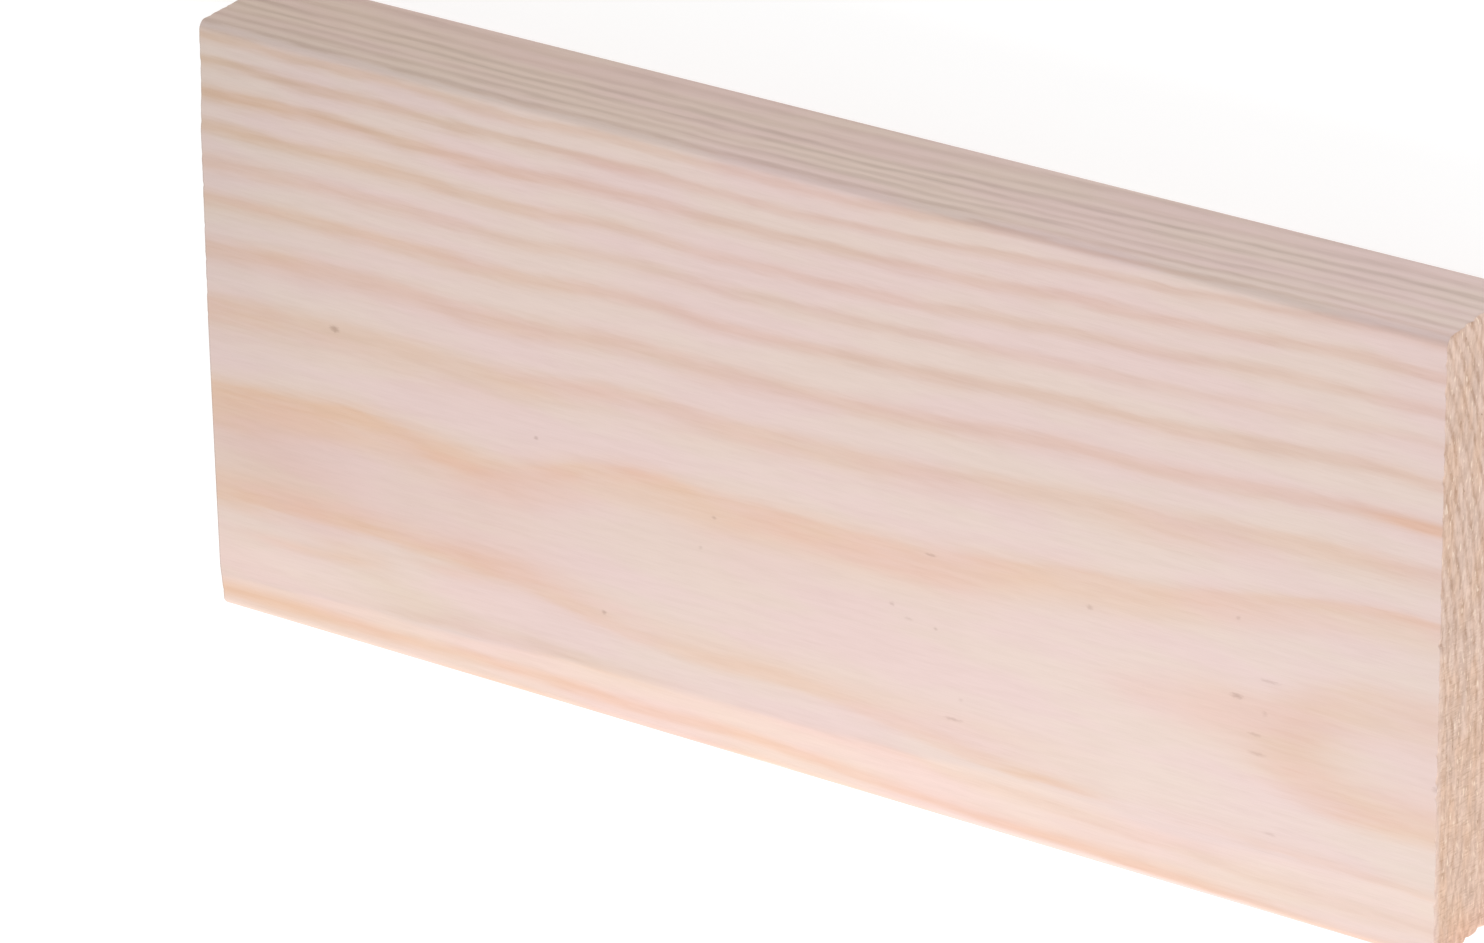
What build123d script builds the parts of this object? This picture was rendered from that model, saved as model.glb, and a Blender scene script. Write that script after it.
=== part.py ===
from build123d import *

import os

# A short length of planed softwood plank, in millimetres.
#
# The plank lies on its broad face. +X runs along the grain, +Y across the width and
# +Z up through the thickness. The origin is the middle of the underside, on the floor.
# It is one sawn and planed piece: four planed sides with eased arrises, and two ends
# cross-cut square and left sharp.

# Finished section, as planed from a sawn board of nominal 25 x 100 mm
plank_width = 95.0
plank_thickness = 21.0

# Length between the two sawn ends
plank_length = 210.0

# Radius of the easing that the planer leaves on each long arris
arris_radius = 2.0


def planed_section():
    """The cross-section on the YZ plane, standing on the floor, with its corners eased."""
    with BuildSketch(Plane.YZ) as section:
        with Locations((0, plank_thickness / 2)):
            RectangleRounded(plank_width, plank_thickness, arris_radius)
    return section.sketch


def plank():
    """The section run along the grain, half of it each side of the origin."""
    with BuildPart() as stock:
        extrude(planed_section(), amount=plank_length / 2, both=True)
    return stock.part


os.makedirs("parts", exist_ok=True)
export_step(plank(), "parts/plank.step")
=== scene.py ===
"""The looks of a short length of planed softwood plank, lying on its broad face.

Everything is in metres in the row's frame: +X along the grain, +Y across the width, +Z up.
Wood sizes are given in millimetres and turned into metres where a mesh or a node needs them.
"""

import math

import bpy
import numpy as np
from mathutils import Matrix, Vector, noise


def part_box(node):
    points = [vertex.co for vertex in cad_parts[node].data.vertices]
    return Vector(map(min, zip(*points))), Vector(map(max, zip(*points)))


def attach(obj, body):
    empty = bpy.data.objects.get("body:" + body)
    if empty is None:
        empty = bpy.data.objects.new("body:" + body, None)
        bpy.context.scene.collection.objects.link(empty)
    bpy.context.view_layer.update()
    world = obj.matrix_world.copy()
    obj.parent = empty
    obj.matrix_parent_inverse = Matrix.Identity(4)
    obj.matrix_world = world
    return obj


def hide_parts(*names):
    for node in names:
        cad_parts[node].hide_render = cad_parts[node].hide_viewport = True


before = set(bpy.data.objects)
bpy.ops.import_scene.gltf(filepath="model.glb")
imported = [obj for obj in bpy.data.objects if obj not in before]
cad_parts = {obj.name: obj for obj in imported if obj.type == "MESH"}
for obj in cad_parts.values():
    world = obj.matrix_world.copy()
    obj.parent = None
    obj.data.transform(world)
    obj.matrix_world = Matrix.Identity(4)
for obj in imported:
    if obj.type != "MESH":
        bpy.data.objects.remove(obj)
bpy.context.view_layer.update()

MM = 0.001

# The planed section and the length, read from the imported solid
low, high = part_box("plank")
length, width, thickness = (high - low) / MM

# The radius that the long arrises show
arris_radius = 1.5

# Cells of the skin's grid along the grain, across the width and through the thickness,
# how many of them an arris takes, and how far the first rows lie from each sawn end
cells = (180, 166, 44)
arris_cells = 6
fine_end_rows = (0.0, 0.2, 0.45, 0.8, 1.3, 2.0, 2.9)

# The camera: the direction that it looks from and its roll in degrees, the point that it looks at
# and how far off that is, and its lens on a 36 mm sensor
camera_azimuth = 129.95
camera_elevation = 48.03
camera_roll = -122.9
camera_aim = (-9.4, -1.0, 21.0)
camera_distance = 1210.5
camera_lens = 206.2

# The lights, in metres and watts: each one's place, side and power, and the room's own light
softbox = ((0.1, -0.3, 0.26), 0.25, 1.15)
window = ((0.15, 0.5, 0.28), 0.4, 0.35)
room_light = 0.72

# The floor: how far it goes each way, and how far it reaches in under the plank
floor_reach = 3000.0
floor_overlap = arris_radius

# How far the upper face has crowned since it was planed
crown = 0.2

# How far in each saw cut lies, at places across the width, and how far the skin is drawn with it
end_inset = {
    "left": {-47.5: 0.42, -44.5: 0.36, -42: 0.1, 8: 0.1, 22: 0.22, 32: 0.35, 35: 0.55, 47.5: 0.7},
    "right": {-47.5: 0.08, 47.5: 0.08},
}
saw_reach = 2.5

# Relief of the sawn ends: its depth, its size across the width and through the thickness, and
# the layer of noise that it is read from. The left end has a share of it.
torn_fibres = (0.12, 1.6, 0.7, 3.1)
fibre_shreds = (0.04, 0.5, 0.5, 7.3)
saw_strokes = (0.08, 14.0, 1.1, 9.7)
left_relief = 0.6

# Splinters broken off the sawn edges: how deep and how large they are, how far in they reach, how
# strong the noise is where they begin, and its layer. The left end has a share of their depth.
chip_depth = 0.9
chip_size = 1.3
chip_reach = 0.5
chip_threshold = 0.05
chip_layer = 21.0
left_chips = 0.35

# The growth rings: a log whose pith lies far above the upper face.
# Each curve here and below gives its values at places along the grain of that face.
pith_distance = 113.0

# Where the arch line runs across the upper face, and where the rings lie level with that face
arch_line = {
    -105: -12.2, -90: -11.2, -75: -10.6, -65: -11.8, -57: -13.0, -50: -12.7, -43: -10.7, -35: -8.2,
    -25: -7.0, -15: -7.8, -5: -7.2, 10: -7.0, 20: -6.9, 27: -6.4, 35: -5.1, 45: -3.4, 58: -2.3,
    70: -0.1, 80: 2.0, 90: 3.8, 105: 4.7,
}
tangent_line = {-105: -20.9, -70: -20.2, -35: -20.5, 0: -20.8, 35: -21.0, 70: -19.9, 105: -18.2}

# How much closer the rings get with each millimetre towards the lower arris
lower_squeeze = {-105: 0.0155, -52: 0.0165, 0: 0.025, 52: 0.0225, 105: 0.012}

# Growth added just outside the arch line, and within what distance it comes in
first_ring_extra = {-105: 0.5, -70: 0.25, -35: -0.05, 0: -0.2, 35: -0.5, 70: 0.2, 105: 0.9}
first_ring_reach = 1.2

# How many times closer the rings are inside the arch line, and the share by which all of them are
# closer or, below 0, wider apart
inner_growth = {-105: 2.0, -60: 2.0, -48: 1.8, -35: 1.3, -15: 1.0, 105: 1.0}
growth_change = {
    -105: -0.083, -70: -0.046, -35: -0.023, 0: -0.006, 35: -0.02, 70: -0.051, 105: -0.051,
}

# How far the wood strays towards the lower arris, along rows of the broad face.
# Each row is named by its place across the width, and the wood between two rows follows both.
outer_stray = {-105: 0.5, -60: 0.45, -25: 0.3, 10: 0.0, 105: 0.0}
no_stray = {-105: 0.0, 105: 0.0}
upper_stray = {-105: 0.0, 40: 0.0, 58: -0.9, 75: -1.1, 88: -0.8, 105: -1.3}
arm_stray = {
    -105: 0.3, -95: -0.3, -85: -0.7, -75: -0.9, -65: 0.4, -55: 1.3, -45: 0.8, -35: 0.5, -25: 1.0,
    -15: 2.0, -5: 1.2, 5: 1.1, 15: 1.8, 25: 2.9, 33: 3.2, 47: 2.4, 55: 2.5, 65: 1.9, 75: 1.5,
    85: 1.3, 105: 1.6,
}
first_stray = {
    -105: 0.3, -95: -0.3, -85: -0.7, -75: -0.9, -65: 0.4, -55: 1.5, -45: 1.3, -35: 0.8, -25: 1.0,
    -15: 2.0, -5: 1.2, 5: 1.1, 15: 1.8, 25: 2.9, 33: 3.2, 47: 2.4, 55: 2.5, 65: 1.9, 75: 1.0,
    85: 0.2, 105: 0.2,
}
second_stray = {
    -105: 2.4, -80: 2.0, -66: 2.2, -52: 1.4, -40: 0.3, -20: -0.2, 0: 0.2, 20: -0.9, 40: -1.2,
    60: 0.0, 105: 0.3,
}
third_stray = {
    -105: 0.7, -80: 0.75, -66: 0.5, -52: 0.3, -40: 0.2, -20: 0.35, 0: 0.7, 20: 0.9, 40: 0.6,
    60: 1.05, 105: 0.8,
}
stray_rows = (
    (26, outer_stray),
    (18.5, no_stray),
    (11.5, upper_stray),
    (5.5, no_stray),
    (-21, no_stray),
    (-27, arm_stray),
    (-36.2, first_stray),
    (-39.5, second_stray),
    (-44.3, third_stray),
)

# Growth at each ring number up to the arch line and just past it. The whole numbers are dark
# lines: two inside the arch, and the arch line. The widths are of the rings outside that.
inner_lines = {
    0: -3.9, 0.55: -2.27, 0.8: -2.13, 1: -1.9, 1.15: -1.63, 1.35: -1.38, 1.68: -0.33, 1.8: -0.17,
    2: 0.08, 2.16: 0.19, 2.3: 0.38,
}
ring_widths = (
    2.14, 2.17, 2.25, 2.08, 2.0, 2.3, 2.11, 1.78, 1.86, 2.34, 1.71, 1.97, 2.26, 2.49, 3.28, 2.8, 2.5,
)
arch_number = 2

# How dark and how golden each line is, by its number: above the tangent line, there at the left
# end, and below the tangent line
line_darkness = (
    0.05, 0.14, 0.08, 0.3, 0.38, 0.5, 0.42, 0.47, 0.54, 0.54, 0.45, 0.7, 0.6, 0.4, 0.7, 0.8, 0.45,
)
line_gold = (0.2, 0.55, 0.72, 0.4, 0.38, 0.31, 0.17, 0.24, 0.27, 0.2, 0.24, 0.17, 0.1)
left_darkness = (
    0.05, 0.14, 0.08, 0.25, 0.33, 0.24, 0.42, 0.5, 0.75, 0.68, 0.5, 0.7, 0.6, 0.4, 0.7, 0.8, 0.45,
)
left_gold = (0.2, 0.62, 0.72, 0.55, 0.55, 0.62, 0.36, 0.62, 0.62, 0.4, 0.4, 0.25, 0.12)
lower_darkness = (0.05, 0.14, 0.05, 0.3, 0.12, 0.4)
lower_gold = (0.2, 0.62, 0.66, 0.25, 0.64, 0.2)

# How the strengths change along the grain: the gold from the arch line inwards, and single lines
gold_along = {-105: 1.15, -70: 1.3, -55: 1.1, -40: 1.0, -25: 1.22, 0: 0.97, 20: 0.87, 60: 0.82, 105: 0.8}
sixth_line_fade = {-105: 0.7, 0: 1.0, 50: 0.8, 75: 0.45, 105: 0.45}
first_lower_fade = {
    -105: 1.0, -50: 1.0, -30: 0.75, -10: 0.75, 10: 0.6, 26: 0.7, 34: 1.0, 43: 1.1, 48: 0.8, 53: 0.1, 66: 0.05,
    78: 0.3, 105: 0.5,
}
second_lower_fade = {
    -105: 0.0, -86: 0.1, -76: 0.5, -66: 1.0, -56: 0.8, -48: 0.9, -40: 1.1, -30: 0.7, -20: 0.3, 0: 0.3,
    20: 0.6, 105: 0.7,
}
arch_darkening = {-105: 1.0, 50: 1.0, 80: 1.6, 105: 2.8}

# Changes towards the left end: the place along the grain where each begins, and its reach
left_lines = (-20, 75)
left_spread = (-30, 75)
# The last is the painted shade on the upper edge
left_painted_shade = (115, 215)

# How much wider than usual the lines are on the upper edge, by the lower arris, at the left end
# and along the arch line
upper_edge_spread = 0.3
lower_arris_spread = 0.45
left_end_spread = 0.2
arch_spread = 0.35

# What lies on the broad face comes in between these heights above the underside
stain_heights = (8, 20)
spread_heights = (8, 18)
strip_heights = (6, 18)
below_heights = (0, 10)

# The golden wood inside the arch line and its lower arm: how far inside, how wide and how strong it is
arch_glow_offset = 2.6
arch_glow_reach = 2.2
arch_glow = {-105: 0.5, -81: 0.5, -62: 0.14, -44: 0.27, -20: 0.32, 0: 0.34, 50: 0.3, 105: 0.25}
arm_line = {-105: -28.6, -81: -28.6, -62: -29.0, -44: -29.4, -30: -32.0, 0: -33.5, 50: -33.5, 105: -30.0}
arm_glow_offset = 2.8
arm_glow_reach = 2.0
arm_glow = {-105: 0.42, -81: 0.45, -66: 0.22, -44: 0.2, 0: 0.16, 40: 0.12, 55: 0.0, 105: 0.0}

# Soft stains on the broad face, and patches of painted shade: x, y, reach along the grain, reach across,
# strength
pink_patches = (
    (-98, -19, 14, 6, 0.65),
    (-30, 41.1, 8, 0.8, 0.9),
    (-74, -19, 24, 7, 0.3),
    (81, -19, 8, 4.5, 0.45),
    (-20, -16, 30, 5, 0.2),
)
gold_patches = (
    (-101, -17.0, 9, 1.2, 0.25),
    (-99, -30.4, 9, 0.9, 0.3),
    (-82, -31.6, 6, 1.2, 0.33),
    (-88, -22, 12, 3.2, 0.18),
    (-62, -30.8, 7, 0.9, 0.35),
    (-62, -12.5, 8, 1.3, 0.35),
    (-94, -43.8, 18, 1.0, 0.5),
    (55, -44.6, 22, 1.2, 0.35),
    (-90, -34.1, 9, 0.9, 0.45),
    (-80, -33.4, 5, 0.9, 0.4),
    (-75, -32, 3, 1.2, 0.22),
    (57, -17.8, 6, 2.6, 0.25),
    (68, -17.9, 7, 4.3, 0.42),
    (73, -14.6, 6, 1.8, 0.22),
    (102, 18.9, 8, 0.8, 1.0),
)
pale_patches = (
    (-100, -39, 24, 7, 0.6),
    (-60, -34, 14, 3, 0.3),
)
light_patches = (
    (-82, -37.6, 26, 2.4, 1.0),
)
# Painted shade: soft patches that darken the broad face, most at the upper left
painted_shade_patches = (
    (-112, 25, 26, 34, 0.9),
    (105, -45, 45, 10, 0.6),
    (40, 12, 40, 12, 0.25),
    (108, -10, 36, 40, 0.42),
    (-75, 44, 30, 5, 0.6),
)

# Where the paler, peach-coloured wood beside the lower arris begins, and how pale it is
pale_strip = {
    -105: -42.5, -90: -41.8, -80: -41.1, -66: -41.1, -52: -40.3, -40: -39.6, -20: -39.3, 0: -38.9,
    20: -38.3, 40: -37.4, 50: -37.8, 60: -38.7, 80: -37.6, 105: -37.2,
}
pale_share = {-105: 0.9, -90: 1.0, -78: 1.0, 0: 0.95, 20: 0.8, 45: 0.45, 60: 0.38, 105: 0.42}

# Specks and fine resin dashes on the broad face: x, y, length, width, how dark
specks = (
    (-81.5, 3.8, 0.75, 0.5, 1.0),
    (-45.5, -4.8, 0.35, 0.3, 0.8),
    (-14.4, -9.6, 0.35, 0.25, 0.7),
    (-16.9, -15.0, 0.35, 0.3, 0.4),
    (-34.2, -30.0, 0.4, 0.3, 0.9),
    (16.0, -15.3, 0.4, 0.3, 0.6),
    (23.3, -17.3, 0.3, 0.25, 0.6),
    (18.8, -16.9, 0.7, 0.2, 0.4),
    (22.6, -5.9, 0.8, 0.22, 0.7),
    (26.3, -30.9, 1.3, 0.25, 0.6),
    (27.5, -27.5, 0.4, 0.3, 0.3),
    (49.0, -7.1, 0.5, 0.35, 0.6),
    (73.1, -2.3, 0.35, 0.3, 0.5),
    (73.0, -14.4, 0.9, 0.4, 0.8),
    (78.1, -10.8, 1.6, 0.25, 0.5),
    (77.5, -16.0, 0.4, 0.4, 0.4),
    (75.9, -19.6, 1.0, 0.25, 0.5),
    (76.3, -22.5, 1.2, 0.3, 0.5),
    (78.4, -34.5, 0.9, 0.25, 0.4),
    (104.7, -20.2, 0.6, 0.4, 0.6),
)


def smooth_curve(points, x):
    """A smooth curve through given points, read at x."""
    stations = np.array(sorted(points), float)
    values = np.array([points[s] for s in sorted(points)], float)
    slopes = np.gradient(values, stations)
    i = np.clip(np.searchsorted(stations, x) - 1, 0, len(stations) - 2)
    step = stations[i + 1] - stations[i]
    t = np.clip((x - stations[i]) / step, 0, 1)
    start = (1 + 2 * t) * (1 - t) ** 2 * values[i] + t * (1 - t) ** 2 * step * slopes[i]
    end = t * t * (3 - 2 * t) * values[i + 1] - t * t * (1 - t) * step * slopes[i + 1]
    return start + end


def smooth_step(start, end, value):
    """0 before the start and 1 past the end, with a soft rise between them."""
    t = np.clip((value - start) / (end - start), 0, 1)
    return t * t * (3 - 2 * t)


def stray_at(x, y):
    """How far the wood strays from its bare rings, between the rows where that is given."""
    stray = 0.0
    for (upper, above), (lower, below) in zip(stray_rows, stray_rows[1:]):
        share = np.clip((upper - y) / (upper - lower), 0, 1)
        stray = stray + (smooth_curve(below, x) - smooth_curve(above, x)) * share
    return stray


def growth(x, y, z):
    """How far outside the arch ring a point of the wood grew."""
    y = y + stray_at(x, y)
    tangent = smooth_curve(tangent_line, x)
    across = y - tangent
    squeezed = -across * (1 - smooth_curve(lower_squeeze, x) * across)
    across = np.where(across < 0, squeezed, across)
    arch = np.hypot(pith_distance, smooth_curve(arch_line, x) - tangent)
    outward = np.hypot(pith_distance + thickness - z, across) - arch
    outward = np.where(outward < 0, outward * smooth_curve(inner_growth, x), outward)
    come_in = 1 - np.exp(-np.maximum(outward, 0) / first_ring_reach)
    extra = smooth_curve(first_ring_extra, x) * come_in
    return outward * (1 + smooth_curve(growth_change, x)) + extra


def ring_number(x, y, z):
    """Which growth ring a point of the wood is in. Each whole number is a dark latewood line."""
    outer = np.cumsum(ring_widths)
    numbers = list(inner_lines) + [arch_number + n for n in range(1, len(outer) + 1)]
    return np.interp(growth(x, y, z), list(inner_lines.values()) + list(outer), numbers)


def section_lines(span, count):
    """Grid lines over a side of the section: where each starts, and how far it is into an arris."""
    arc = np.linspace(0, 1, arris_cells + 1)[1:]
    straight = np.linspace(arris_radius, span - arris_radius, count - 2 * arris_cells + 1)
    place = np.concatenate([[straight[0]] * arris_cells, straight, [straight[-1]] * arris_cells])
    into_arris = np.concatenate([-arc[::-1], np.zeros(len(straight)), arc])
    return place, into_arris


def end_to_end_lines():
    """Grid lines along the grain, closer together at the sawn ends."""
    fine = np.array(fine_end_rows)
    middle = np.linspace(fine[-1], length - fine[-1], cells[0] - 2 * (len(fine) - 1) + 1)
    return np.concatenate([fine[:-1], middle, length - fine[-2::-1]]) - length / 2


def plank_grid():
    """The plank's skin as one closed grid: six faces that meet at shared edges."""
    x_line = end_to_end_lines()
    y_line, y_arc = section_lines(width, cells[1])
    z_line, z_arc = section_lines(thickness, cells[2])
    i, j, k = np.meshgrid(*[np.arange(n + 1) for n in cells], indexing="ij")
    on_skin = np.zeros(i.shape, bool)
    for index, n in zip((i, j, k), cells):
        on_skin |= (index == 0) | (index == n)
    number = np.full(i.shape, -1)
    number[on_skin] = np.arange(on_skin.sum())
    i, j, k = i[on_skin], j[on_skin], k[on_skin]
    x = x_line[i]
    y = y_line[j] - width / 2 + arris_radius * y_arc[j] * np.sqrt(1 - z_arc[k] ** 2 / 2)
    z = z_line[k] + arris_radius * z_arc[k] * np.sqrt(1 - y_arc[j] ** 2 / 2)
    quads = []
    for axis in range(3):
        for side in (0, -1):
            sheet = np.take(number, side, axis=axis)
            corners = [sheet[:-1, :-1], sheet[1:, :-1], sheet[1:, 1:], sheet[:-1, 1:]]
            outward = (side == -1) != (axis == 1)
            quads.append(np.stack(corners if outward else corners[::-1], -1).reshape(-1, 4))
    return np.stack([x, y, z], 1), np.concatenate(quads)


def crowned(points):
    """The upper face, on the heart side, has dried a little round across its width."""
    points = points.copy()
    lifted = points[:, 2] / thickness
    points[:, 2] -= crown * (2 * points[:, 1] / width) ** 2 * lifted
    return points


def saw_depth(y, z, side):
    """How far in the cut surface lies from its mean: torn fibres over shallow saw strokes."""
    depth = 0.0
    for relief, size_across, size_through, layer in (torn_fibres, fibre_shreds, saw_strokes):
        depth += relief * noise.noise(Vector((y / size_across, z / size_through, layer * side)))
    return depth * (1.0 if side > 0 else left_relief)


def chipped_away(y, z, side):
    """Small splinters broken off the sawn edges, where the saw came through."""
    to_edge = min(z, thickness - z, width / 2 - abs(y))
    broken = noise.noise(Vector((y / chip_size, z / chip_size, chip_layer + side)))
    depth = chip_depth * max(0.0, broken - chip_threshold) * math.exp(-to_edge / chip_reach)
    return depth * (1.0 if side > 0 else left_chips)


def saw_cut(points):
    """Both ends, cut with a saw. The skin beside each cut moves with it, so nothing folds over."""
    points = points.copy()
    from_end = length / 2 - abs(points[:, 0])
    insets = {
        1: smooth_curve(end_inset["right"], points[:, 1]),
        -1: smooth_curve(end_inset["left"], points[:, 1]),
    }
    for n in np.flatnonzero(from_end < saw_reach):
        x, y, z = points[n]
        side = math.copysign(1, x)
        depth = insets[side][n] + saw_depth(y, z, side) + chipped_away(y, z, side)
        points[n, 0] = x - side * max(0.0, depth) * (1 - from_end[n] / saw_reach)
    return points


def surface_pace(points, normals):
    """How many rings go by in a millimetre, going straight across the lines on the surface."""
    step = 0.25
    x, y, z = points.T
    across = (ring_number(x, y + step, z) - ring_number(x, y - step, z)) / (2 * step)
    through = (ring_number(x, y, z + step) - ring_number(x, y, z - step)) / (2 * step)
    into = across * normals[:, 1] + through * normals[:, 2]
    return np.hypot(across - into * normals[:, 1], through - into * normals[:, 2])


def by_ring(levels, rings):
    """The level of a line, and between two lines a mix of theirs."""
    return np.interp(rings, np.arange(len(levels)), levels)


def near_line(number, rings):
    """1 on the line with this number, falling to 0 at the lines beside it."""
    return np.clip(1 - abs(rings - number), 0, 1)


def towards_left(x, start, reach):
    """0 at the start and 1 from its reach further left."""
    return np.clip((start - x) / reach, 0, 1)


def line_strengths(x, y, z, rings):
    """How dark and how golden the lines are, at each point."""
    below = smooth_step(0, 4, smooth_curve(tangent_line, x) - y) * smooth_step(*below_heights, z)
    fade = 1 - (1 - smooth_curve(first_lower_fade, x)) * near_line(arch_number, rings)
    fade = fade - (1 - smooth_curve(second_lower_fade, x)) * near_line(arch_number + 1, rings)
    darkened = 1 + (smooth_curve(arch_darkening, x) - 1) * near_line(arch_number, rings)
    darkened = darkened - (1 - smooth_curve(sixth_line_fade, x)) * near_line(6, rings)
    leftward = towards_left(x, *left_lines)
    darkness = by_ring(line_darkness, rings) * (1 - leftward) + by_ring(left_darkness, rings) * leftward
    gold = by_ring(line_gold, rings) * (1 - leftward) + by_ring(left_gold, rings) * leftward
    gilded = 1 + (smooth_curve(gold_along, x) - 1) * (1 - smooth_step(2.2, 2.8, rings))
    darkness = (1 - below) * darkened * darkness + below * fade * by_ring(lower_darkness, rings)
    gold = (1 - below) * gilded * gold + below * fade * by_ring(lower_gold, rings)
    return darkness, gold


def line_spread(x, y, z, rings):
    """How wide the lines are, counted in their usual width."""
    on_upper_edge = smooth_step(46.3, 47.2, y)
    by_lower_arris = smooth_step(-42, -43.5, y) * smooth_step(*spread_heights, z)
    at_left = towards_left(x, *left_spread) * smooth_step(-16, 0, y) * (1 - on_upper_edge)
    spread = 1 + upper_edge_spread * on_upper_edge + lower_arris_spread * by_lower_arris
    return spread + left_end_spread * at_left + arch_spread * near_line(arch_number, rings)


def painted_edge_shade(x, y, z):
    """Painted shade on the upper edge: darker towards the left end, and less so beside the broad face."""
    beside_face = smooth_step(18, 20.6, z)
    return smooth_step(46.9, 47.45, y) * towards_left(x, *left_painted_shade) * (1 - 0.6 * beside_face)


def soft_patches(patches, x, y, z):
    """The strength of listed soft patches on the broad face, at each point."""
    strength = np.zeros(len(x))
    for place, across, reach, reach_across, level in patches:
        strength += level * np.exp(-((x - place) / reach) ** 2 - ((y - across) / reach_across) ** 2)
    return strength * smooth_step(*stain_heights, z)


def glow(x, y, z):
    """The golden wood that trails off inside the arch line and inside its lower arm."""
    inside_arch = (smooth_curve(arch_line, x) - arch_glow_offset - y) / arch_glow_reach
    inside_arm = (smooth_curve(arm_line, x) + arm_glow_offset - y) / arm_glow_reach
    strength = smooth_curve(arch_glow, x) * np.exp(-inside_arch ** 2)
    strength = strength + smooth_curve(arm_glow, x) * np.exp(-inside_arm ** 2)
    return strength * smooth_step(*stain_heights, z)


def strip_strength(x, y, z):
    """How far a point lies into the paler strip beside the lower arris."""
    inside = smooth_step(-0.2, 0.5, smooth_curve(pale_strip, x) - y)
    return inside * smooth_curve(pale_share, x) * smooth_step(*strip_heights, z)


def make_plank():
    """The plank's skin, with what the wood's shader reads given at each of its points."""
    smooth_points, quads = plank_grid()
    mesh = bpy.data.meshes.new("plank_wood")
    mesh.from_pydata((saw_cut(crowned(smooth_points)) * MM).tolist(), [], quads.tolist())
    mesh.update()
    normals = np.zeros(3 * len(smooth_points), np.float32)
    mesh.vertex_normals.foreach_get("vector", normals)
    rings = ring_number(*smooth_points.T)
    darkness, gold = line_strengths(*smooth_points.T, rings)
    levels = {
        "ring": rings,
        "pace": surface_pace(smooth_points, normals.reshape(-1, 3)),
        "darkness": darkness,
        "gold": gold,
        "pink_patch": soft_patches(pink_patches, *smooth_points.T),
        "gold_patch": soft_patches(gold_patches, *smooth_points.T) + glow(*smooth_points.T),
        "light_patch": soft_patches(light_patches, *smooth_points.T),
        # Painted shade in soft patches on the broad face
        "painted_shade_amount": soft_patches(painted_shade_patches, *smooth_points.T),
        "pale_strip": strip_strength(*smooth_points.T) + soft_patches(pale_patches, *smooth_points.T),
        "spread": line_spread(*smooth_points.T, rings),
        # Painted shade on the upper edge, darker towards the left end
        "painted_edge_shade": painted_edge_shade(*smooth_points.T),
    }
    for name, values in levels.items():
        mesh.attributes.new(name, "FLOAT", "POINT").data.foreach_set("value", values.astype(np.float32))
    mesh.polygons.foreach_set("use_smooth", np.ones(len(quads), bool))
    piece = bpy.data.objects.new("plank_wood", mesh)
    bpy.context.scene.collection.objects.link(piece)
    return piece


class Shading:
    """Short ways to add shader nodes to one material."""

    def __init__(self, name):
        self.material = bpy.data.materials.new(name)
        self.material.use_nodes = True
        self.tree = self.material.node_tree
        self.tree.nodes.clear()

    def node(self, kind, inputs=(), **settings):
        made = self.tree.nodes.new(kind)
        for key, value in settings.items():
            setattr(made, key, value)
        for key, value in dict(inputs).items():
            self.feed(made.inputs[key], value)
        return made

    def feed(self, socket, value):
        if isinstance(value, bpy.types.NodeSocket):
            self.tree.links.new(value, socket)
        else:
            socket.default_value = value

    def attribute(self, name):
        return self.node("ShaderNodeAttribute", attribute_name=name).outputs["Fac"]

    def math(self, operation, *values):
        return self.node("ShaderNodeMath", enumerate(values), operation=operation).outputs[0]

    def vector_math(self, operation, *values):
        return self.node("ShaderNodeVectorMath", enumerate(values), operation=operation)

    def scaled(self, vector, *sizes):
        """The place, counted in grains of the given size in millimetres."""
        return self.vector_math("DIVIDE", vector, sizes).outputs[0]

    def noise(self, vector, detail=2.0, roughness=0.5):
        values = {"Vector": vector, "Scale": 1.0, "Detail": detail, "Roughness": roughness}
        return self.node("ShaderNodeTexNoise", values).outputs["Fac"]

    def between(self, value, low, high, out_low=0.0, out_high=1.0):
        values = {"Value": value, "From Min": low, "From Max": high, "To Min": out_low, "To Max": out_high}
        made = self.node("ShaderNodeMapRange", values, interpolation_type="SMOOTHSTEP")
        return made.outputs["Result"]

    def profile(self, value, stops):
        """A level that changes smoothly between given stops, as the value goes from 0 to 1."""
        made = self.node("ShaderNodeValToRGB", {"Fac": value})
        made.color_ramp.interpolation = "B_SPLINE"
        elements = made.color_ramp.elements
        while len(elements) < len(stops):
            elements.new(0.5)
        for element, (place, level) in zip(elements, stops):
            element.position = place
            element.color = (level, level, level, 1)
        return made.outputs["Color"]

    def mix(self, share, first, second, blend="MIX"):
        made = self.node("ShaderNodeMix", data_type="RGBA", blend_type=blend)
        for socket, value in zip([made.inputs[0], made.inputs[6], made.inputs[7]], (share, first, second)):
            self.feed(socket, value)
        return made.outputs[2]

    def stained(self, colour, amount, stain):
        """The colour, with more of it taken out by the stain where the amount is larger."""
        return self.mix(amount, colour, self.mix(1.0, colour, stain, "MULTIPLY"))


def srgb(red, green, blue):
    """A colour given in 0 to 255, as linear light."""
    levels = [c / 255 for c in (red, green, blue)]
    return tuple(c / 12.92 if c <= 0.04045 else ((c + 0.055) / 1.055) ** 2.4 for c in levels) + (1.0,)


def stain(red, green, blue):
    """What a stain leaves of each colour, as the eye counts it, turned into linear light."""
    return (red ** 2.2, green ** 2.2, blue ** 2.2, 1.0)
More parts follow.
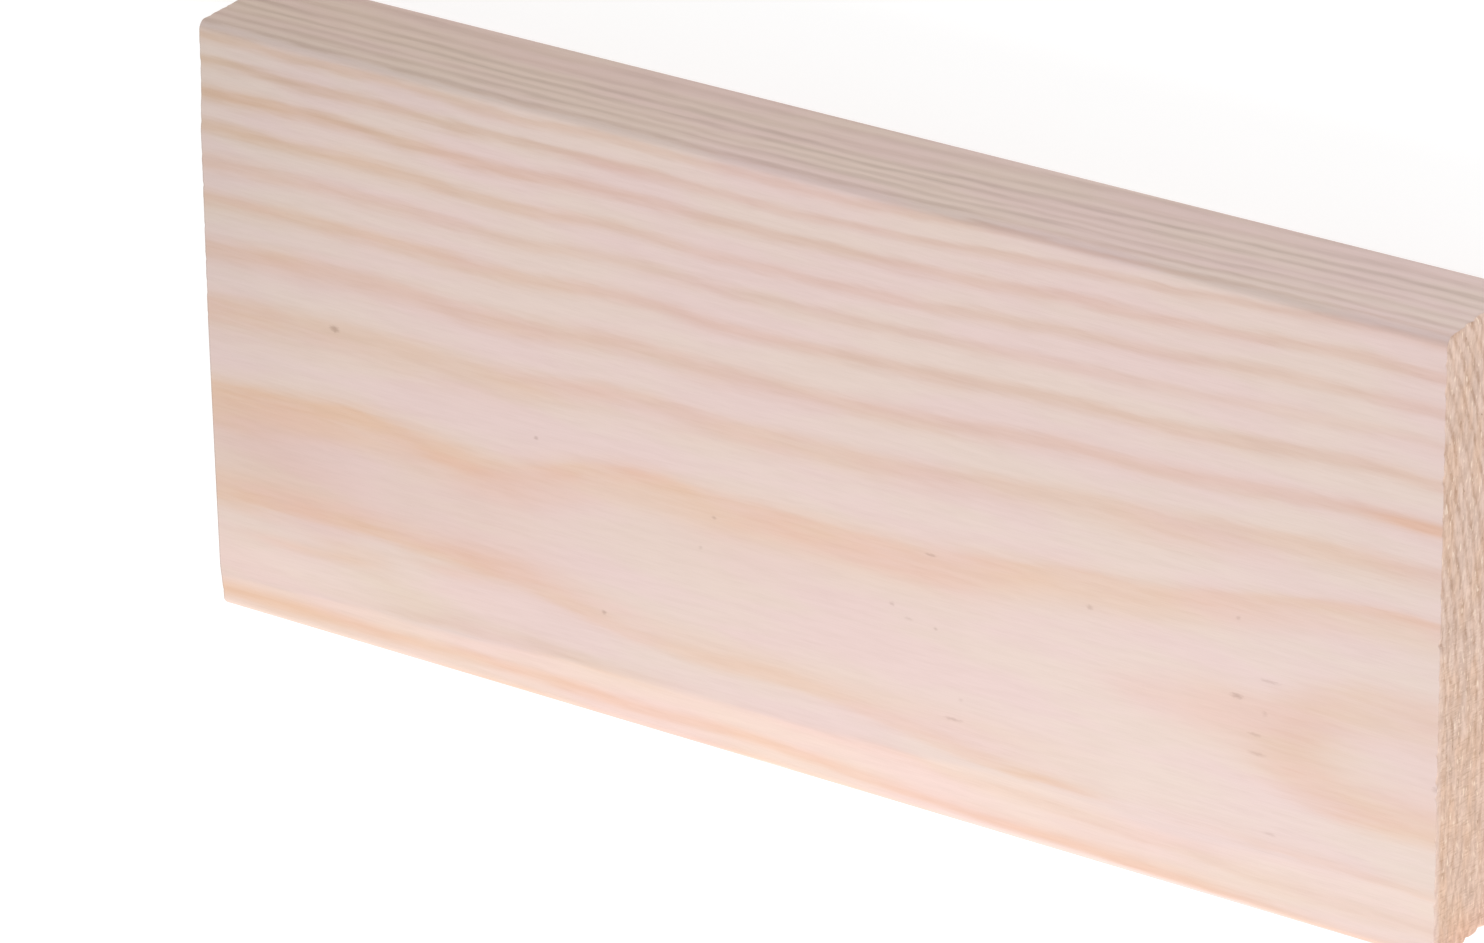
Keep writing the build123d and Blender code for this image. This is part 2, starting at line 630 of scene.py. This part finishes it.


# Colours of the planed faces: two shades of pale wood, and what each stain or painted shade leaves of them
pale_wood = srgb(218.7, 199.1, 189.9)
pinker_wood = srgb(219.3, 196.2, 191.5)
streak_stain = stain(0.988, 0.986, 0.984)
fibre_stain = stain(0.99, 0.989, 0.988)
strip_stain = stain(1.05, 1.032, 1.012)
light_stain = stain(1.012, 1.034, 1.026)
pink_stain = stain(0.975, 0.945, 0.93)
# Painted shade: what the darker patches of the broad face leave of its colour
painted_shade_tint = stain(0.962, 0.976, 0.97)
# Painted shade: what the darker left part of the upper edge leaves of its colour
painted_edge_shade_tint = stain(0.932, 0.917, 0.886)
dark_line_stain = stain(0.94, 0.9, 0.88)
left_line_stain = stain(0.935, 0.913, 0.868)
edge_line_stain = stain(0.9, 0.895, 0.89)
gold_stain = stain(0.998, 0.93, 0.857)
speck_stain = stain(0.87, 0.85, 0.84)

# Colours of the sawn ends
sawn_wood = srgb(217, 187, 170)
torn_wood = srgb(238, 210, 194)
shred_wood = srgb(247, 224, 205)
dragged_wood = srgb(245, 220, 203)
fringe_wood = srgb(238, 214, 206)
blotch_stain = stain(0.955, 0.952, 0.95)
warm_stain = stain(1.0, 0.98, 0.95)
open_line_stain = stain(0.885, 0.84, 0.8)
pit_stain = stain(0.84, 0.79, 0.75)
score_stain = stain(0.94, 0.92, 0.895)
lower_half_stain = stain(1.005, 0.99, 0.972)
lower_arris_stain = stain(1.03, 0.975, 0.95)

# How strong a line is across its band: the line is at 0.5, and 0 and 1 lie halfway to the next ones.
# The planed faces have a dark and a golden band, and the sawn ends an open one.
dark_stops = (
    (0.0, 0.0), (0.06, 0.0), (0.15, 0.1), (0.25, 0.38), (0.34, 0.78), (0.43, 1.1),
    (0.51, 1.06), (0.59, 0.7), (0.68, 0.2), (0.78, 0.0), (1.0, 0.0),
)
gold_stops = (
    (0.0, 0.0), (0.1, 0.0), (0.2, 0.12), (0.3, 0.45), (0.4, 0.95), (0.5, 1.12),
    (0.58, 0.9), (0.67, 0.35), (0.77, 0.03), (0.86, 0.0), (1.0, 0.0),
)
open_stops = (
    (0.0, 0.0), (0.22, 0.05), (0.35, 0.8), (0.48, 1.15), (0.58, 0.95), (0.68, 0.15), (1.0, 0.0),
)


def speckled(s, place, colour):
    """Dark specks on the broad face, each a small uneven ellipse."""
    height = s.node("ShaderNodeSeparateXYZ", {0: place}).outputs[2]
    on_top = s.between(height, thickness - 1.2, thickness - 0.7)
    ragged = s.between(s.noise(s.scaled(place, 0.6, 0.25, 0.25), 1), 0, 1, -0.5, 0.5)
    total = None
    for x, y, speck_length, speck_width, level in specks:
        offset = s.vector_math("SUBTRACT", place, (x, y, thickness)).outputs[0]
        ellipse = s.vector_math("LENGTH", s.scaled(offset, speck_length, speck_width, 9.0)).outputs["Value"]
        spot = s.between(s.math("ADD", ellipse, ragged), 0.2, 1.6, level, 0.0)
        total = spot if total is None else s.math("MAXIMUM", total, spot)
    return s.stained(colour, s.math("MULTIPLY", total, on_top), speck_stain)


def planed_colour(s, place, share, edge):
    """The planed faces: pale wood in soft patches and in patches of painted shade, with darker and golden
    lines along the rings.
    """
    streak = s.noise(s.scaled(place, 9, 0.8, 0.8), 3)
    fibre = s.noise(s.scaled(place, 4, 0.16, 0.16), 2)
    along = s.noise(s.scaled(place, 16, 5, 5), 2)
    uneven = s.between(streak, 0.25, 0.75, 0.88, 1.1)
    dark_band = s.profile(share, dark_stops)
    gold_band = s.profile(share, gold_stops)
    darkness = s.math("MULTIPLY", s.math("MULTIPLY", dark_band, s.attribute("darkness")), uneven)
    gold = s.math("MULTIPLY", s.math("MULTIPLY", gold_band, s.attribute("gold")), uneven)
    gold = s.math("MULTIPLY", gold, s.between(along, 0.3, 0.7, 0.8, 1.15))
    darkness = s.math("MULTIPLY", darkness, s.between(along, 0.3, 0.7, 1.25, 0.75))

    patch = s.noise(s.scaled(place, 32, 7, 7), 2)
    pale = s.mix(s.between(patch, 0.36, 0.64), pale_wood, pinker_wood)
    pale = s.stained(pale, s.between(streak, 0.35, 0.7), streak_stain)
    pale = s.stained(pale, s.between(fibre, 0.42, 0.7), fibre_stain)
    pale = s.stained(pale, s.attribute("pale_strip"), strip_stain)
    pale = s.stained(pale, s.attribute("light_patch"), light_stain)
    pale = s.stained(pale, s.attribute("pink_patch"), pink_stain)
    # Painted shade in soft patches, most at the upper left
    pale = s.stained(pale, s.attribute("painted_shade_amount"), painted_shade_tint)
    # Painted shade on the upper edge, darker towards the left end
    pale = s.stained(pale, s.attribute("painted_edge_shade"), painted_edge_shade_tint)
    leftward = s.between(s.node("ShaderNodeSeparateXYZ", {0: place}).outputs[0], -95, 0, 1.0, 0.0)
    line_stain = s.mix(leftward, dark_line_stain, left_line_stain)
    line_stain = s.mix(edge, line_stain, edge_line_stain)
    planed = s.stained(pale, darkness, line_stain)
    planed = s.stained(planed, s.math("ADD", gold, s.attribute("gold_patch")), gold_stain)
    return speckled(s, place, planed), dark_band, fibre


def sawn_colour(s, place, share):
    """The sawn ends: open rings and torn fibres, darker and warmer than the faces."""
    split = s.node("ShaderNodeSeparateXYZ", {0: place})
    y, z = split.outputs[1], split.outputs[2]
    open_band = s.profile(share, open_stops)
    torn = s.noise(s.scaled(place, 1, 2.2, 0.75), 3, 0.55)
    shred = s.noise(s.scaled(place, 1, 1.9, 0.6), 2, 0.5)
    pits = s.noise(s.scaled(place, 1, 1.1, 0.6), 2, 0.6)
    blotch = s.noise(s.scaled(place, 1, 7, 4), 2)
    warmth = s.noise(s.scaled(place, 2, 9, 3), 1)
    sawn = s.mix(s.between(torn, 0.3, 0.7), sawn_wood, torn_wood)
    sawn = s.stained(sawn, s.between(blotch, 0.3, 0.7), blotch_stain)
    sawn = s.stained(sawn, s.between(warmth, 0.4, 0.65), warm_stain)
    strength = s.between(y, -34, 8, 0.45, 0.92)
    line = s.math("MULTIPLY", open_band, s.between(torn, 0.25, 0.6, 1.0, 0.6))
    sawn = s.stained(sawn, s.math("MULTIPLY", line, strength), open_line_stain)
    sawn = s.mix(s.between(shred, 0.6, 0.72, 0.0, 0.9), sawn, shred_wood)
    sawn = s.stained(sawn, s.between(pits, 0.66, 0.78), pit_stain)

    # Fibres that the saw dragged across the thickness, more of them on the lower half
    dragged = s.between(y, -8, 18, 1.0, 0.15)
    leaning_y = s.math("MULTIPLY_ADD", z, -0.11, y)
    leaning = s.node("ShaderNodeCombineXYZ", {1: leaning_y, 2: z}).outputs[0]
    dash = s.between(s.noise(s.scaled(leaning, 1, 0.34, 1.3), 2, 0.6), 0.58, 0.72, 0.0, 0.6)
    score = s.between(s.noise(s.scaled(leaning, 1, 0.24, 3.0), 1), 0.54, 0.7)
    sawn = s.mix(s.math("MULTIPLY", dash, dragged), sawn, dragged_wood)
    sawn = s.stained(sawn, s.math("MULTIPLY", score, dragged), score_stain)

    # The lower half is warmer, and the wood is paler by the upper face and pinker by the lower arris
    sawn = s.stained(sawn, s.between(y, -30, -5, 0.8, 0.0), lower_half_stain)
    fringe = s.between(z, thickness - 1.6, thickness - 0.2)
    fringe = s.math("MULTIPLY", fringe, s.between(y, -28, 8, 0.5, 0.1))
    sawn = s.mix(fringe, sawn, fringe_wood)
    by_lower_arris = s.between(y, -width / 2, -width / 2 + 7, 0.8, 0.0)
    return s.stained(sawn, by_lower_arris, lower_arris_stain), torn


def planed_pine():
    """One wood for the whole plank: planed along the grain, sawn where the skin faces along it."""
    s = Shading("planed_pine")
    place = s.scaled(s.node("ShaderNodeTexCoord").outputs["Object"], MM, MM, MM)
    normal = s.node("ShaderNodeSeparateXYZ", {0: s.node("ShaderNodeNewGeometry").outputs["Normal"]})
    end_grain = s.between(s.math("ABSOLUTE", normal.outputs[0]), 0.45, 0.75)
    edge = s.between(s.math("ABSOLUTE", normal.outputs[1]), 0.6, 0.95)

    # Ring lines wander a little, and their edges feather along the fibres
    wander = s.between(s.noise(s.scaled(place, 18, 5, 5)), 0, 1, -0.6, 0.6)
    feather = s.between(s.noise(s.scaled(place, 6, 0.6, 0.6), 3), 0, 1, -0.35, 0.35)
    stray = s.math("MULTIPLY", s.attribute("pace"), s.math("ADD", wander, feather))
    share = s.math("FRACT", s.math("ADD", s.math("ADD", s.attribute("ring"), stray), 0.5))
    from_line = s.math("DIVIDE", s.math("SUBTRACT", share, 0.5), s.attribute("spread"))
    share = s.math("ADD", from_line, 0.5)
    planed, dark_band, fibre = planed_colour(s, place, share, edge)
    sawn, torn = sawn_colour(s, place, share)
    colour = s.mix(end_grain, planed, sawn)

    height = s.math("ADD", s.math("MULTIPLY", fibre, 0.6), s.math("MULTIPLY", dark_band, 0.3))
    height = s.node("ShaderNodeMix", {0: end_grain, 2: height, 3: s.math("MULTIPLY", torn, 1.5)}).outputs[0]
    bump = s.node("ShaderNodeBump", {"Height": height, "Strength": 0.35, "Distance": 0.0001})
    shader = {"Base Color": colour, "Roughness": 0.62, "Specular IOR Level": 0.25, "Normal": bump.outputs[0]}
    s.node("ShaderNodeOutputMaterial", {"Surface": s.node("ShaderNodeBsdfPrincipled", shader).outputs[0]})
    return s.material


def floor_paper():
    """Matt white paper with a glow of its own, so that only soft shadows show on it."""
    s = Shading("floor_paper")
    shader = {
        "Base Color": srgb(160, 160, 160), "Roughness": 0.9, "Specular IOR Level": 0.0,
        "Emission Color": srgb(250, 250, 250), "Emission Strength": 0.76,
    }
    s.node("ShaderNodeOutputMaterial", {"Surface": s.node("ShaderNodeBsdfPrincipled", shader).outputs[0]})
    return s.material


def make_floor():
    """A plain floor, left open under the plank so that its underside can be seen from below."""
    corners = ((-1, -1), (1, -1), (1, 1), (-1, 1))
    open_x, open_y = length / 2 - floor_overlap, width / 2 - floor_overlap
    inner = [(x * open_x * MM, y * open_y * MM, 0) for x, y in corners]
    outer = [(x * floor_reach * MM, y * floor_reach * MM, 0) for x, y in corners]
    mesh = bpy.data.meshes.new("floor")
    mesh.from_pydata(inner + outer, [], [(n, n + 4, (n + 1) % 4 + 4, (n + 1) % 4) for n in range(4)])
    floor = bpy.data.objects.new("floor", mesh)
    bpy.context.scene.collection.objects.link(floor)
    mesh.materials.append(floor_paper())


def make_camera():
    """A long lens, looking down at the upper face and rolled to the photograph's framing."""
    azimuth, elevation = math.radians(camera_azimuth), math.radians(camera_elevation)
    level = math.cos(elevation)
    back = Vector((math.sin(azimuth) * level, -math.cos(azimuth) * level, math.sin(elevation)))
    data = bpy.data.cameras.new("camera")
    data.lens = camera_lens
    data.clip_start = 0.05
    data.clip_end = 20
    camera = bpy.data.objects.new("camera", data)
    roll = Matrix.Rotation(math.radians(camera_roll), 4, "Z")
    turn = (-back).to_track_quat("-Z", "Y").to_matrix().to_4x4() @ roll
    aim = Vector(camera_aim) * MM
    camera.matrix_world = Matrix.Translation(aim + back * (camera_distance * MM)) @ turn
    bpy.context.scene.collection.objects.link(camera)
    bpy.context.scene.camera = camera


def make_light(name, place, size, watts):
    """A square white light that faces the plank."""
    data = bpy.data.lights.new(name, "AREA")
    data.shape = "SQUARE"
    data.size = size
    data.energy = watts
    lamp = bpy.data.objects.new(name, data)
    lamp.location = place
    lamp.rotation_mode = "QUATERNION"
    lamp.rotation_quaternion = (-Vector(place)).to_track_quat("-Z", "Y")
    bpy.context.scene.collection.objects.link(lamp)


def make_studio():
    """A white room with a softbox beyond the lower edge and a window beyond the upper one."""
    world = bpy.data.worlds.new("studio")
    world.use_nodes = True
    background = world.node_tree.nodes["Background"]
    background.inputs["Color"].default_value = (1, 1, 1, 1)
    background.inputs["Strength"].default_value = room_light
    bpy.context.scene.world = world
    make_light("softbox", *softbox)
    make_light("window", *window)
    bpy.context.scene.view_settings.view_transform = "Standard"


plank = make_plank()
plank.data.materials.append(planed_pine())
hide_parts("plank")
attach(plank, "root")
make_floor()
make_camera()
make_studio()
